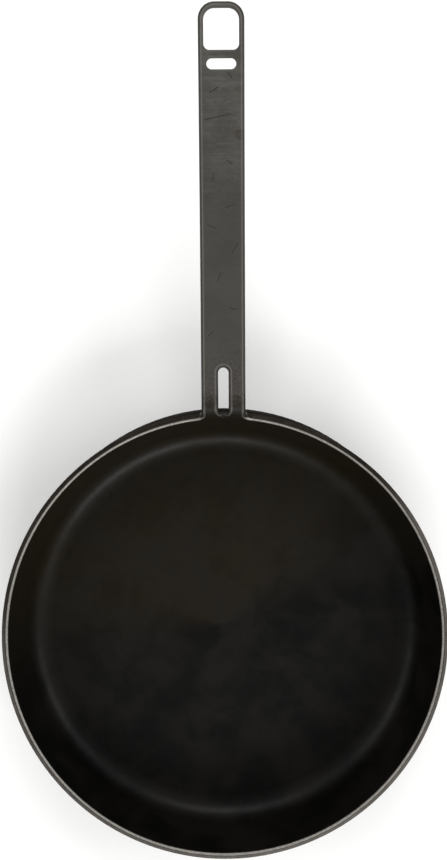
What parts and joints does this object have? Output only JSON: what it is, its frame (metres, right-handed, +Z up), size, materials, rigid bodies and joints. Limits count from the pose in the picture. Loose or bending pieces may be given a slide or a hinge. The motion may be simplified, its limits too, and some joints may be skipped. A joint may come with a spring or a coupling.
{
  "type": "iron skillet",
  "caption": "Deep round iron skillet with a long flat strap handle: two legs at the rim, a narrow slot between them and a hanging opening at the tip.",
  "frame": {"origin": "middle of the flat base", "axes": "+Z up through the bowl's middle, +Y level, from the bowl towards the handle's tip"},
  "size_m": [0.2794, 0.5165, 0.0983],
  "materials": {
    "seasoned_iron": "seasoned, dark brown to black, slightly oily",
    "handle_iron": "warm grey, fine grained, with scratches from use",
    "weld_iron": "ground flush above, a low bead below"
  },
  "bodies": {
    "root": {"bowl": "seasoned_iron", "handle": "handle_iron", "weld_left": "weld_iron", "weld_right": "weld_iron"}
  },
  "joints": []
}
